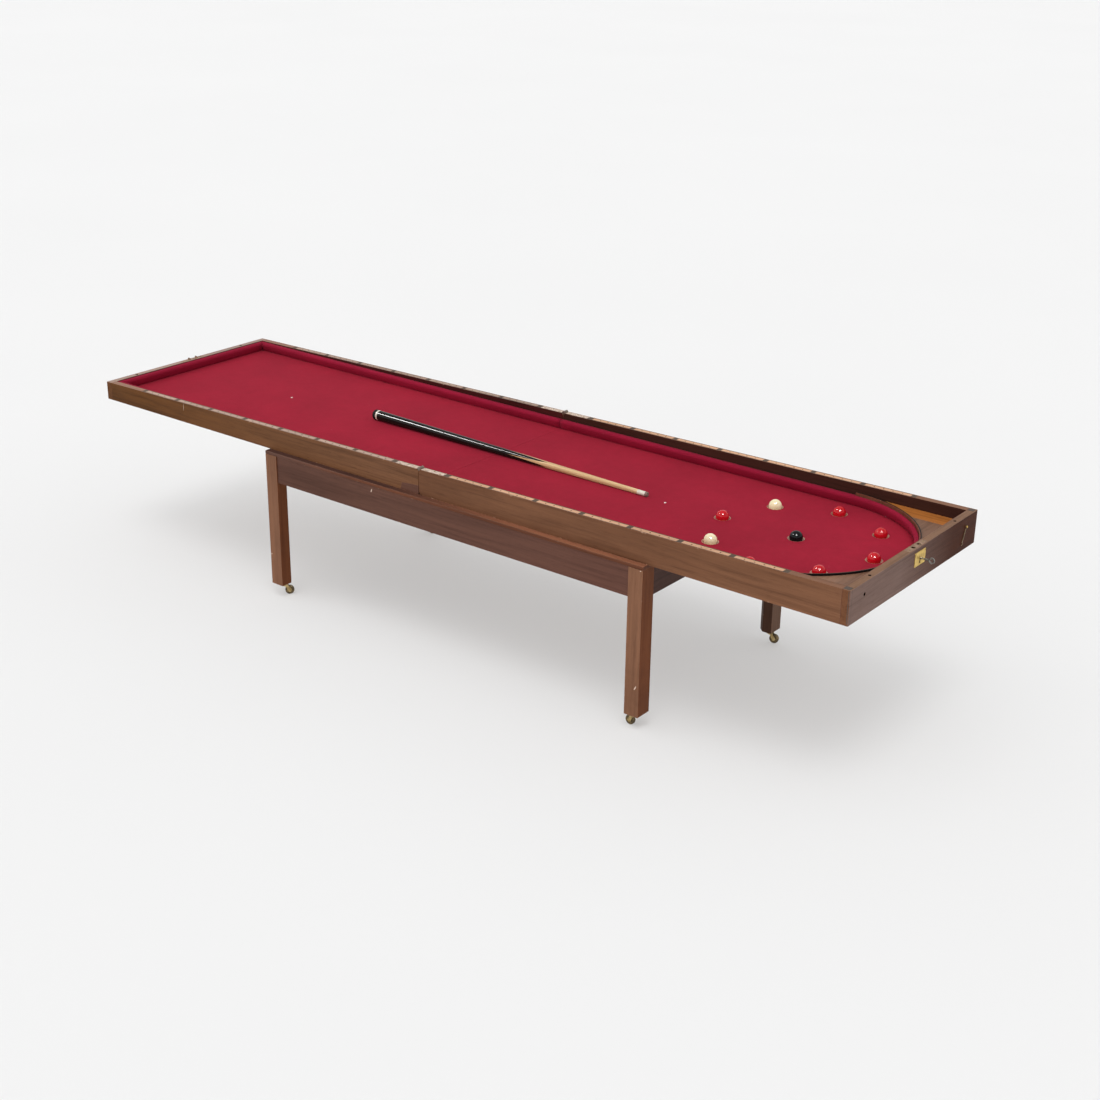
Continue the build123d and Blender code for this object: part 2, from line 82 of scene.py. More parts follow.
class Shader:
    """A material and short calls that add and join its nodes."""

    def __init__(self, name):
        self.material = bpy.data.materials.new(name)
        self.material.use_nodes = True
        self.nodes = self.material.node_tree.nodes
        self.links = self.material.node_tree.links
        self.bsdf = self.nodes["Principled BSDF"]

    def add(self, kind, values=None, **attributes):
        node = self.nodes.new(kind)
        for key, value in attributes.items():
            setattr(node, key, value)
        for key, value in (values or {}).items():
            if isinstance(value, bpy.types.NodeSocket):
                self.links.new(value, node.inputs[key])
            else:
                node.inputs[key].default_value = value
        return node

    def split(self, vector):
        return self.add("ShaderNodeSeparateXYZ", {"Vector": vector}).outputs

    def coords(self, scale=(1, 1, 1), offset=(0, 0, 0), turn=(0, 0, 0)):
        source = self.add("ShaderNodeTexCoord").outputs["Object"]
        values = {"Vector": source, "Scale": scale, "Location": offset, "Rotation": turn}
        return self.add("ShaderNodeMapping", values).outputs["Vector"]

    def noise(self, vector, scale, detail=4.0, rough=0.55, distortion=0.0):
        values = {"Vector": vector, "Scale": scale, "Detail": detail, "Roughness": rough,
                  "Distortion": distortion}
        return self.add("ShaderNodeTexNoise", values).outputs["Fac"]

    def ramp(self, factor, stops):
        node = self.add("ShaderNodeValToRGB", {"Fac": factor})
        points = node.color_ramp.elements
        while len(points) < len(stops):
            points.new(0.5)
        for point, (place, colour) in zip(points, stops):
            point.position = place
            point.color = (*colour, 1)
        return node.outputs["Color"]

    def mask(self, factor, low, high):
        values = {"Value": factor, "From Min": low, "From Max": high}
        return self.add("ShaderNodeMapRange", values, clamp=True).outputs["Result"]

    def mix(self, factor, a, b, blend="MIX"):
        values = {0: factor, 6: a, 7: b}
        return self.add("ShaderNodeMix", values, data_type="RGBA", blend_type=blend).outputs[2]

    def math(self, operation, a, b=0.0, c=0.0):
        return self.add("ShaderNodeMath", {0: a, 1: b, 2: c}, operation=operation).outputs[0]

    def bump(self, height, strength, distance):
        values = {"Height": height, "Strength": strength, "Distance": distance}
        return self.add("ShaderNodeBump", values).outputs["Normal"]

    def edges(self, radius):
        """0 on the flats, rising to 1 on the arrises."""
        bevel = self.add("ShaderNodeBevel", {"Radius": radius}, samples=4).outputs["Normal"]
        flat = self.add("ShaderNodeNewGeometry").outputs["Normal"]
        dot = self.add("ShaderNodeVectorMath", {0: bevel, 1: flat}, operation="DOT_PRODUCT")
        return self.mask(dot.outputs["Value"], 0.995, 0.80)

    def pits(self, colour, split, limits, dark=(22, 16, 13), depth=0.0003):
        """Paints shade: blackens whatever lies under the rim's surface and inside the limits, holes and
        mortises.
        """
        rim = self.math("MULTIPLY_ADD", split["X"], RIM_RISE, RIM_MID_Z - RIM_RISE * SEAM_X - depth)
        inside = self.mask(self.math("SUBTRACT", split["Z"], rim), 0.0001, -0.0001)
        for axis, low, high in limits:
            inside = self.math("MULTIPLY", inside, self.math("GREATER_THAN", split[axis], low))
            inside = self.math("MULTIPLY", inside, self.math("LESS_THAN", split[axis], high))
        return self.mix(inside, colour, opaque(dark))

    def set(self, **values):
        for key, value in values.items():
            socket = self.bsdf.inputs[key.replace("_", " ")]
            if isinstance(value, bpy.types.NodeSocket):
                self.links.new(value, socket)
            else:
                socket.default_value = value


def grain_scale(along, fine, long):
    return tuple(long if axis == along else fine for axis in "XYZ")


def linear(colour):
    """A 0-255 screen colour as the linear values that Blender works in."""
    parts = [c / 255 for c in colour]
    return tuple(c / 12.92 if c <= 0.04045 else ((c + 0.055) / 1.055) ** 2.4 for c in parts)


def opaque(colour):
    """A 0-255 screen colour as linear values with full alpha."""
    return (*linear(colour), 1)


def shade(colour, amount):
    return tuple(min(1.0, c * amount) for c in colour)


CHIPPED = (196, 160, 134)
STRINGING = (44, 31, 25)
TURNED, SQUARE_ON = 0.80, 0.95


def runs_into(s, split, mean, change):
    """Mean colour that runs into a second one; change = (axis, start, stop, colour)."""
    axis, start, stop, colour = change
    return s.mix(s.mask(split[axis], start, stop), mean, opaque(colour))


def wood(name, tone, along="X", fade=None, inner=None, top=None, top_fade=None, facing=None, pits=None,
         lined=False, gloss=0.42, spec=0.06, figure=1.0, worn=0.5, offset=(0, 0, 0)):
    """Grained timber.  tone is its mean screen colour; fade = (axis, start, stop, colour) runs into a second
    one; inner = (axis, middle, reach, colour) is the face within reach of the middle; top is a painted light
    level for level faces, sheen on the rims and shadow on the cap, and top_fade runs it into a second one;
    facing = (axis, sign, colour) is a painted light level for faces that look that way; pits are the limits
    of holes painted dark as shade; lined draws the dark lines beside the scoring strips."""
    s = Shader(name)
    split = s.split(s.add("ShaderNodeTexCoord").outputs["Object"])
    mean = opaque(tone)
    if fade:
        mean = runs_into(s, split, mean, fade)
    normal = s.split(s.add("ShaderNodeNewGeometry").outputs["Normal"])
    # Painted light and shade: faces that look along the given axis get their own light level.
    if facing:
        axis, sign, colour = facing
        mean = s.mix(s.mask(s.math("MULTIPLY", normal[axis], sign), TURNED, SQUARE_ON), mean, opaque(colour))
    # Painted light: level faces get their own light level; on the rims a painted sheen, on the cap's top a
    # painted shadow that runs into light.
    if top:
        level = opaque(top)
        if top_fade:
            level = runs_into(s, split, level, top_fade)
        if lined:
            off = s.math("ABSOLUTE", s.math("SUBTRACT", s.math("ABSOLUTE", split["Y"]), STRIP_Y))
            along_x = s.math("ABSOLUTE", s.math("SUBTRACT", split["X"], SEAM_X))
            beside = s.mask(off, STRIP_HALF_W + 0.0006, STRIP_HALF_W)
            line = s.math("MULTIPLY", beside, s.math("LESS_THAN", along_x, STRIP_END))
            level = s.mix(s.math("MULTIPLY", line, 0.85), level, opaque(STRINGING))
        mean = s.mix(s.mask(normal["Z"], TURNED, SQUARE_ON), mean, level)
    if inner:
        axis, middle, reach, colour = inner
        away = s.math("ABSOLUTE", s.math("SUBTRACT", split[axis], middle))
        mean = s.mix(s.mask(away, reach + 0.0009, reach + 0.0005), mean, opaque(colour))
    broad = s.noise(s.coords(grain_scale(along, 9, 1.1), offset), 1.0, 5, 0.6, 0.7)
    streak = s.noise(s.coords(grain_scale(along, 120, 4), offset), 1.0, 5, 0.68, 0.4)
    pores = s.noise(s.coords(grain_scale(along, 900, 36), offset), 1.0, 2, 0.5)
    drift = s.ramp(broad, [(0.28, (0.74, 0.70, 0.68)), (0.50, (1.0, 1.0, 1.0)), (0.74, (1.26, 1.24, 1.20))])
    colour = s.mix(figure, mean, drift, "MULTIPLY")
    lines = s.ramp(streak, [(0.26, (0.50, 0.46, 0.44)), (0.48, (1.0, 1.0, 1.0)), (0.74, (1.28, 1.26, 1.22))])
    colour = s.mix(0.85 * figure, colour, lines, "MULTIPLY")
    pore_mask = s.mask(pores, 0.60, 0.72)
    filled = s.mix(1.0, colour, (0.35, 0.30, 0.28, 1), "MULTIPLY")
    colour = s.mix(s.math("MULTIPLY", pore_mask, 0.45), colour, filled)
    handled = s.noise(s.coords((7, 7, 7), offset), 1.0, 6, 0.7)
    edge = s.math("MULTIPLY", s.edges(0.0020), s.mask(handled, 0.40, 0.60))
    colour = s.mix(s.math("MULTIPLY", edge, worn), colour, (*shade(linear(tone), 2.1), 1))
    chips = s.mask(s.noise(s.coords((55, 55, 55), offset), 1.0, 2, 0.5), 0.69, 0.71)
    colour = s.mix(s.math("MULTIPLY", chips, s.edges(0.0035)), colour, opaque(CHIPPED))
    grime = s.mask(s.noise(s.coords((2.1, 2.6, 5.0), offset), 1.0, 5, 0.65), 0.52, 0.74)
    grimy = s.mix(1.0, colour, (0.55, 0.52, 0.50, 1), "MULTIPLY")
    colour = s.mix(s.math("MULTIPLY", grime, 0.5), colour, grimy)
    # Painted shade: holes and mortises under the rim are blackened.
    if pits is not None:
        colour = s.pits(colour, split, pits)
    rough = s.math("MULTIPLY_ADD", s.mask(handled, 0.2, 0.9), 0.2, gloss - 0.08)
    height = s.math("SUBTRACT", s.math("MULTIPLY", streak, 0.5), pore_mask)
    s.set(Base_Color=colour, Roughness=rough, Normal=s.bump(height, 0.22, 0.0003), Specular_IOR_Level=spec)
    return s.material


def baize(name, tone, nap=1.0):
    """Wool cloth: slow clouds, a mottle, fibres, a little lint and a fine weave in the bump."""
    s = Shader(name)
    where = s.coords()
    mean = linear(tone)
    cloud = s.noise(where, 3.2, 6, 0.62)
    mottle = s.noise(where, 38, 5, 0.7)
    fibre = s.noise(s.coords((1600, 1150, 1400)), 1.0, 3, 0.75)
    colour = s.ramp(cloud, [(0.32, shade(mean, 0.90)), (0.68, shade(mean, 1.12))])
    patches = s.ramp(mottle, [(0.3, (0.80, 0.76, 0.78)), (0.7, (1.16, 1.14, 1.14))])
    colour = s.mix(0.35, colour, patches, "MULTIPLY")
    hairs = s.ramp(fibre, [(0.3, (0.74, 0.68, 0.70)), (0.7, (1.22, 1.25, 1.25))])
    colour = s.mix(0.5, colour, hairs, "MULTIPLY")
    lint = s.mask(s.noise(s.coords((260, 210, 240)), 1.0, 1, 0.3), 0.80, 0.84)
    colour = s.mix(s.math("MULTIPLY", lint, 0.25), colour, (0.62, 0.22, 0.26, 1))
    weave = s.add("ShaderNodeTexWave", {"Vector": where, "Scale": 320, "Distortion": 1.5, "Detail": 2})
    height = s.math("MULTIPLY_ADD", weave.outputs["Fac"], 0.35, fibre)
    s.set(Base_Color=colour, Roughness=0.95, Normal=s.bump(height, 0.30 * nap, 0.0004))
    s.set(Sheen_Weight=0.04, Sheen_Roughness=0.5, Sheen_Tint=(0.9, 0.3, 0.4, 1), Specular_IOR_Level=0.06)
    return s.material


def metal(name, bright, dull, dark, gloss=0.28, pits=None):
    """Tarnished metal from dark through dull to bright, scratched all one way and rubbed on its arrises."""
    s = Shader(name)
    where = s.coords()
    patina = s.noise(where, 85, 6, 0.7)
    colour = s.ramp(patina, [(0.30, dark), (0.50, dull), (0.72, bright)])
    scratches = s.noise(s.coords((2600, 240, 500), turn=(0.3, 0.5, 0.7)), 1.0, 2, 0.5)
    edge = s.edges(0.0006)
    colour = s.mix(s.math("MULTIPLY", edge, 0.5), colour, (*bright, 1))
    # Painted shade: holes under the rim are blackened.
    if pits is not None:
        colour = s.pits(colour, s.split(where), pits, (8, 6, 5), 0.0008)
    rough = s.math("MULTIPLY_ADD", patina, 0.3, gloss - 0.08)
    rough = s.math("MULTIPLY_ADD", scratches, 0.12, rough)
    s.set(Base_Color=colour, Roughness=rough, Normal=s.bump(scratches, 0.12, 0.0001), Metallic=0.9)
    return s.material


def hinge_metal(name):
    """Pale worn leaves, pitted with dark specks, and dull knuckles at the fold."""
    s = Shader(name)
    where = s.coords()
    worn = s.noise(where, 130, 5, 0.7)
    pits = s.mask(s.noise(where, 320, 3, 0.6), 0.54, 0.62)
    dull, pale, bright = linear((150, 128, 112)), linear((205, 180, 160)), linear((232, 216, 200))
    colour = s.ramp(worn, [(0.30, dull), (0.50, pale), (0.70, bright)])
    colour = s.mix(s.math("MULTIPLY", pits, 0.75), colour, opaque((92, 74, 62)))
    away = s.math("ABSOLUTE", s.math("SUBTRACT", s.split(where)["X"], SEAM_X))
    knuckle = s.mask(away, KNUCKLE_REACH + KNUCKLE_FADE, KNUCKLE_REACH)
    colour = s.mix(s.math("MULTIPLY", knuckle, 0.85), colour, opaque((84, 70, 62)))
    rough = s.math("MULTIPLY_ADD", worn, 0.3, 0.28)
    s.set(Base_Color=colour, Roughness=rough, Normal=s.bump(worn, 0.2, 0.0002), Metallic=0.35)
    return s.material


def polished(name, dark, light, rough=0.055, spec=0.28, blotch=22, speckle=0.0):
    """Ball, bone or ivory: a smooth surface, faintly blotched, with dark dots where speckle is over 0."""
    s = Shader(name)
    where = s.coords()
    colour = s.ramp(s.noise(where, blotch, 5, 0.6), [(0.3, dark), (0.7, light)])
    rubbed = s.noise(where, 140, 4, 0.6)
    if speckle:
        dots = s.mask(s.noise(where, 420, 2, 0.5), 0.62, 0.72)
        fleck = (dark[0] * 0.5, dark[1] * 0.45, dark[2] * 0.4, 1)
        colour = s.mix(s.math("MULTIPLY", dots, speckle), colour, fleck)
    s.set(Base_Color=colour, Roughness=s.math("MULTIPLY_ADD", rubbed, 0.5 * rough, 0.7 * rough))
    s.set(Normal=s.bump(rubbed, 0.02, 0.0001), Specular_IOR_Level=spec)
    return s.material


def matt(name, dark, light, scale, rough):
    """A dull even-grained surface."""
    s = Shader(name)
    grain = s.noise(s.coords(), scale, 4, 0.65)
    s.set(Base_Color=s.ramp(grain, [(0.3, dark), (0.7, light)]), Roughness=rough)
    s.set(Normal=s.bump(grain, 0.3, 0.0003), Specular_IOR_Level=0.04)
    return s.material


def spliced(name, start, end, centre):
    """Black butt running into maple in four long points round the cue."""
    s = Shader(name)
    where = s.coords()
    split = s.split(where)
    y = s.math("SUBTRACT", split["Y"], centre[0])
    z = s.math("SUBTRACT", split["Z"], centre[1])
    angle = s.math("ARCTAN2", z, y)
    wave = s.math("ABSOLUTE", s.math("SINE", s.math("MULTIPLY_ADD", angle, 2.0, 0.6)))
    along = s.math("DIVIDE", s.math("SUBTRACT", split["X"], start), end - start)
    past = s.math("SUBTRACT", along, wave)
    maple = s.mask(past, -0.012, 0.012)
    veneer = s.math("MULTIPLY", maple, s.mask(past, 0.10, 0.06))
    streak = s.noise(s.coords((4, 190, 190)), 1.0, 4, 0.6, 0.4)
    broad = s.noise(s.coords((2, 30, 30)), 1.0, 3, 0.5)
    pale = s.ramp(streak, [(0.30, (0.47, 0.29, 0.14)), (0.55, (0.72, 0.50, 0.27)), (0.75, (0.84, 0.64, 0.39))])
    pale = s.mix(0.4, pale, s.ramp(broad, [(0.3, (0.72, 0.66, 0.6)), (0.7, (1.15, 1.12, 1.08))]), "MULTIPLY")
    black = s.ramp(streak, [(0.3, (0.006, 0.005, 0.005)), (0.7, (0.020, 0.014, 0.011))])
    colour = s.mix(maple, black, pale)
    colour = s.mix(s.math("MULTIPLY", veneer, 0.55), colour, (0.16, 0.06, 0.02, 1))
    rubbed = s.noise(where, 90, 4, 0.6)
    s.set(Base_Color=colour, Roughness=s.math("MULTIPLY_ADD", rubbed, 0.07, 0.04))
    s.set(Normal=s.bump(streak, 0.03, 0.0002), Specular_IOR_Level=0.13)
    return s.material


# ------------------------------------------------------------------ materials

HALF_X = END_FACE_X - SEAM_X
DARK_INSIDE = (72, 30, 28)
FACE_SKIN = 0.0009
WALL_SKIN = 0.001
LONG_INSIDE = ("Y", 0.0, WALL_Y, DARK_INSIDE)
LONG_INSIDE_RIGHT = ("Y", 0.0, WALL_Y, (60, 34, 27))
END_INSIDE = ("X", SEAM_X, HALF_X - RAIL_W, DARK_INSIDE)
LEFT_FADE = ("X", SEAM_X - 1.0, SEAM_X - 0.15, (103, 70, 49))
RIGHT_FADE = ("X", SEAM_X, SEAM_X + 1.1, (117, 80, 58))
# Painted reflection: the cup end's face runs from a pale grey near side to a dark far side.
END_REFLECTION_FADE = ("Y", -0.08, 0.18, (67, 33, 18))
# Limits of the holes and mortises whose insides are painted dark as shade.
PIT_LIMITS = (("Y", -0.300, 0.300), ("Z", BOARD_LOW + WALL_SKIN, 1.0))
END_PITS = (("X", RIGHT_WALL_X + WALL_SKIN, END_FACE_X - FACE_SKIN), *PIT_LIMITS)
LEFT_PITS = (("X", LEFT_FACE_X + FACE_SKIN, LEFT_WALL_X - WALL_SKIN), *PIT_LIMITS)

LOOKS = {
    # The pale top colours of the rails and end rails are painted reflection, the grazing sheen of the rims.
    "rail_left": wood("rail_mahogany_left", (90, 56, 26), fade=LEFT_FADE, inner=LONG_INSIDE,
                      top=(144, 106, 86), lined=True),
    "rail_right": wood("rail_mahogany_right", (106, 71, 50), fade=RIGHT_FADE, inner=LONG_INSIDE_RIGHT,
                       top=(128, 88, 64), lined=True, figure=0.8, offset=(3.1, 0.4, 0.2)),
    "end_left": wood("end_mahogany_left", (90, 56, 30), "Y", inner=END_INSIDE, top=(150, 124, 112),
                     pits=LEFT_PITS, offset=(0, 2, 0)),
    # Painted reflection on the cup end's rail: its end face is toned pale grey at the near side and runs dark
    # towards the far side, its faces that look towards -Y get a painted light level, and its top is a painted
    # sheen.
    "end_right": wood("end_mahogany_right", (117, 94, 86), "Y", fade=END_REFLECTION_FADE, inner=END_INSIDE,
                      top=(130, 98, 76), facing=("Y", -1, (112, 74, 52)), pits=END_PITS, spec=0.03,
                      figure=0.8, offset=(0.4, 1.7, 0.3)),
    "panel": wood("panel_pine", (120, 92, 66), gloss=0.6),
    "apron": wood("apron_mahogany", (90, 61, 51), fade=("X", SEAM_X, SEAM_X + 0.7, (91, 61, 52)), figure=0.7),
    "apron_end": wood("apron_end_mahogany", (72, 50, 44), "Y", fade=("Y", -0.1, 0.2, (62, 40, 31))),
    # Painted shade: the legs' faces that look towards +X are toned darker.
    "leg": wood("leg_mahogany", (123, 86, 65), "Z", facing=("X", 1, (106, 61, 36)), gloss=0.46, figure=0.7),
    # Painted shade: the far right leg is toned darker overall, as it stands in the table's shadow, and its +X
    # faces are toned lighter as painted light.
    "leg_far": wood("leg_far_shaded_mahogany", (68, 46, 35), "Z", facing=("X", 1, (98, 72, 57)), gloss=0.46,
                    figure=0.7),
    # Painted shadow: the cap's top is dark where the board shades it and runs into a lit colour towards the
    # right.
    "cap": wood("cap_mahogany", (94, 56, 39), fade=("X", SEAM_X - 0.2, SEAM_X - 0.5, (92, 64, 54)),
                top=(70, 46, 40), top_fade=("X", SEAM_X - 0.10, SEAM_X + 0.30, (142, 92, 68)),
                figure=0.8),
    "arc_strip": wood("arc_mahogany", (108, 66, 50), "Z"),
    # The corner floors get a paler orange piece by the long rails and a darker grey-brown piece in between.
    "corner_light": wood("corner_pale_orange_wood", (172, 106, 50), gloss=0.4, worn=0.2),
    "corner_dark": wood("corner_mahogany", (132, 98, 78), "Y", worn=0.2),
    # The boxwood strips' peg holes are painted dark as shade (pits).
    "boxwood_left": wood("boxwood_left", (180, 153, 137), pits=(), gloss=0.5, figure=0.75, worn=0.1),
    "boxwood_right": wood("boxwood_right", (208, 163, 130), pits=(), gloss=0.5, figure=0.75, worn=0.1),
    "ebony": wood("ebony_inlay", (90, 74, 62), gloss=0.5, figure=0.6, worn=0.1),
    "band": matt("black_band", (0.006, 0.005, 0.005), (0.016, 0.012, 0.011), 120, 0.42),
    "bed": baize("bed_baize", (153, 23, 46)),
    "cushion": baize("cushion_baize", (141, 17, 47), nap=0.8),
    "brass_dark": metal("tarnished_brass", (0.50, 0.34, 0.14), (0.20, 0.125, 0.055), (0.05, 0.035, 0.02),
                        gloss=0.4),
    "hinge": hinge_metal("worn_hinge"),
    # The lock plate's holes are painted dark as shade (pits).
    "lock_plate": metal("dull_lock_plate", linear((164, 138, 112)), linear((128, 102, 84)),
                        linear((84, 66, 54)), gloss=0.45, pits=()),
    "escutcheon": metal("pale_brass", linear((224, 196, 112)), linear((204, 172, 92)),
                        linear((150, 118, 60)), gloss=0.32),
    "wheel": metal("dark_wheel", (0.34, 0.25, 0.13), (0.11, 0.08, 0.045), (0.03, 0.022, 0.014), gloss=0.35),
    "castor": metal("castor_brass", linear((214, 194, 146)), linear((164, 140, 94)), linear((84, 68, 44)),
                    gloss=0.3),
    "steel": metal("worn_steel", (0.46, 0.44, 0.41), (0.20, 0.19, 0.17), (0.06, 0.05, 0.045), gloss=0.25),
    "hook": metal("tarnished_hook", linear((160, 138, 106)), linear((108, 88, 64)), linear((58, 44, 33))),
    "ball_red": polished("red_ball", (0.50, 0.003, 0.010), (0.60, 0.006, 0.016)),
    "ball_white": polished("white_ball", linear((238, 222, 176)), linear((248, 238, 204))),
    "ball_black": polished("black_ball", (0.004, 0.004, 0.005), (0.009, 0.009, 0.010), spec=0.16),
    "ivory": polished("ivory_white", (0.62, 0.57, 0.46), (0.80, 0.77, 0.68), rough=0.2),
    "cup": polished("cup_bone", linear((150, 100, 84)), linear((206, 160, 136)), rough=0.4, spec=0.2,
                    blotch=60, speckle=0.4),
    "rubber": matt("black_rubber", (0.008, 0.008, 0.008), (0.022, 0.021, 0.020), 600, 0.6),
    "leather": matt("chalked_leather", (0.13, 0.08, 0.07), (0.30, 0.21, 0.18), 900, 0.9),
    "inlay": wood("dark_inlay", (88, 76, 70), gloss=0.5, figure=0.5, worn=0.1),
    "chip": matt("chipped_wood", linear((186, 158, 138)), linear((232, 212, 196)), 900, 0.85),
    "spot": matt("bed_spot", (0.82, 0.76, 0.72), (0.95, 0.92, 0.90), 700, 0.85),
    "hole": matt("shaded_hole", (0.004, 0.003, 0.003), (0.012, 0.009, 0.007), 400, 0.9),
}
SPLICE_START, SPLICE_END = SEAM_X + 0.041, SEAM_X + 0.163
CUE_AXIS = (0.0015, BED_Z + 0.0098)
LOOKS["cue"] = spliced("cue_splice", SPLICE_START, SPLICE_END, CUE_AXIS)

NODE_LOOKS = {
    "rail_near_left": "rail_left", "rail_far_left": "rail_left",
    "rail_near_right": "rail_right", "rail_far_right": "rail_right",
    "end_rail_left": "end_left", "end_rail_right": "end_right",
    "bed_board_left": "panel", "bed_board_right": "panel",
    "apron_front": "apron", "apron_back": "apron", "aprons_end": "apron_end", "cap_strips": "cap",
    "arc_strip": "arc_strip", "arc_band": "band", "cup_rings": "cup",
    "scoring_strips_left": "boxwood_left", "scoring_strips_right": "boxwood_right",
    "scoring_dividers_left": "ebony", "scoring_dividers_right": "ebony",
    "hinge_leaves_left": "hinge", "hinge_leaves_right": "hinge",
    "lock_case": "lock_plate", "lock_bolt": "brass_dark", "end_fittings_right": "escutcheon",
    "end_fittings_left": "lock_plate", "hook": "hook", "castor_sockets": "brass_dark", "lock_key": "steel",
    "cue_butt": "cue", "cue_shaft": "cue", "cue_ferrules": "ivory", "cue_bumper": "rubber",
    "cue_tip": "leather",
    "ball_black": "ball_black", "leg_far_right": "leg_far",
}
FAMILY_LOOKS = {
    "leg_": "leg", "castor_fork_": "castor", "castor_wheel_": "wheel", "ball_red_": "ball_red",
    "ball_white_": "ball_white",
}


def look_of(node):
    if node in NODE_LOOKS:
        return NODE_LOOKS[node]
    return next(look for start, look in FAMILY_LOOKS.items() if node.startswith(start))


def dress(obj, look):
    obj.data.materials.clear()
    obj.data.materials.append(LOOKS[look])


# Nodes that finer pieces stand for, and how far each other family's arrises are eased
SOFT_NODES = ("cloth_left", "cloth_right", "cushions_left", "cushions_right", "cushion_arc", "corner_floors")
ARRIS = {"rail": 0.0012, "end": 0.0012, "leg": 0.0016, "apro": 0.0012, "arc_": 0.0006, "cup_": 0.0007}

for node_name, node_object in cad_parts.items():
    if node_name in SOFT_NODES:
        continue
    dress(node_object, look_of(node_name))
    width = next((size for start, size in ARRIS.items() if node_name.startswith(start)), 0.0)
    if width:
        rounding = node_object.modifiers.new("arris", "BEVEL")
        rounding.width = width
        rounding.segments = 2
        rounding.limit_method = "ANGLE"
        rounding.angle_limit = math.radians(50)
        rounding.harden_normals = False
        rounding.use_clamp_overlap = True


# ------------------------------------------------------------------ mesh helpers

def link(obj):
    bpy.context.scene.collection.objects.link(obj)
    return obj


def new_piece(name, vertices, faces, look, body, smooth=True):
    """A visible piece with one look, moving with the given body."""
    mesh = bpy.data.meshes.new(name)
    mesh.from_pydata([tuple(v) for v in vertices], [], faces)
    mesh.update()
    outward = bmesh.new()
    outward.from_mesh(mesh)
    bmesh.ops.recalc_face_normals(outward, faces=outward.faces)
    outward.to_mesh(mesh)
    outward.free()
    for polygon in mesh.polygons:
        polygon.use_smooth = smooth
    piece = link(bpy.data.objects.new(name, mesh))
    mesh.materials.append(LOOKS[look])
    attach(piece, body)
    return piece


def sweep(rings):
    """Vertices and faces of a closed solid that joins a row of equal rings."""
    count = len(rings[0])
    vertices = [v for ring in rings for v in ring]
    faces = []
    for r in range(len(rings) - 1):
        for k in range(count):
            a, b = r * count + k, r * count + (k + 1) % count
            faces.append((a, b, b + count, a + count))
    faces.append(tuple(range(count)))
    faces.append(tuple(range((len(rings) - 1) * count, len(rings) * count)))
    return vertices, faces


# ------------------------------------------------------------------ cushions

SEAM_GAP = 0.0010
NOSE_Y = WALL_Y - CUSHION_W
NOSE_H = 0.0185
ROUND = 0.0058
FOOT = 0.0003
TOP_SLACK = 0.0006


def cushion_profile(width):
    """(distance out from the wall, height over the bed), round the section from the foot of the wall."""
    points = [(0.0, FOOT), (0.0, CUSHION_H * 0.55), (0.0002, CUSHION_H - 0.0026)]
    crown = width - ROUND
    top = CUSHION_H - TOP_SLACK
    for k in range(7):
        t = k / 6
        up = top + TOP_SLACK - 0.0020 * math.exp(-t * 9) - TOP_SLACK * t * t
        points.append((0.0005 + (crown - 0.0005) * t, up))
    for k in range(1, 9):
        angle = math.radians(90 - 11.5 * k)
        points.append((crown + ROUND * math.cos(angle), NOSE_H + (top - NOSE_H) * math.sin(angle)))
    points.append((width - 0.0028, 0.0095))
    points.append((width - 0.0060, 0.0018))
    points.append((width - 0.0070, FOOT))
    return points


def ripple(s, seed):
    """The slight unevenness of the stuffing, s along the cushion."""
    return 0.00013 * math.sin(41 * s + seed) + 0.00010 * math.sin(93 * s + 2.1 * seed)


def cushion(name, body, stations, seed):
    """stations are (distance along, width, place), where place(out, up) is a point of that section."""
    rings = []
    for s, width, place in stations:
        ring = []
        for out, up in cushion_profile(width):
            swell = ripple(s, seed) * min(1.0, out / width * 1.4)
            ring.append(place(out + swell, max(FOOT, up + 0.8 * swell)))
        rings.append(ring)
    piece = new_piece(name, *sweep(rings), "cushion", body)
    return piece


def straight_stations(side, x0, x1, steps, start=0.0, mitre=0.0):
    """Sections of a cushion on a long rail from x0 to x1; mitre leans the last one along with out."""
    result = []
    for k in range(steps + 1):
        t = k / steps

        def place(out, up, t=t):
            return (x0 + (x1 + mitre * out - x0) * t, side * (WALL_Y - out), BED_Z + up)

        result.append((start + abs(x1 - x0) * t, CUSHION_W, place))
    return result


def arc_stations(steps, start):
    """Sections of the cushion round the cup end."""
    width = ARC_BACK_R - NOSE_Y
    result = []
    for k in range(steps + 1):
        angle = math.pi * k / steps - math.pi / 2

        def place(out, up, angle=angle):
            radius = ARC_BACK_R - out
            return (RING_X + radius * math.cos(angle), radius * math.sin(angle), BED_Z + up)

        result.append((start + ARC_BACK_R * math.pi * k / steps, width, place))
    return result


def end_stations(steps):
    """Sections of the plain end's cushion, mitred into its neighbours."""
    result = []
    for k in range(steps + 1):
        t = 2 * k / steps - 1

        def place(out, up, t=t):
            return (LEFT_WALL_X + out, t * (WALL_Y - out), BED_Z + up)

        result.append((WALL_Y * (t + 1), CUSHION_W, place))
    return result


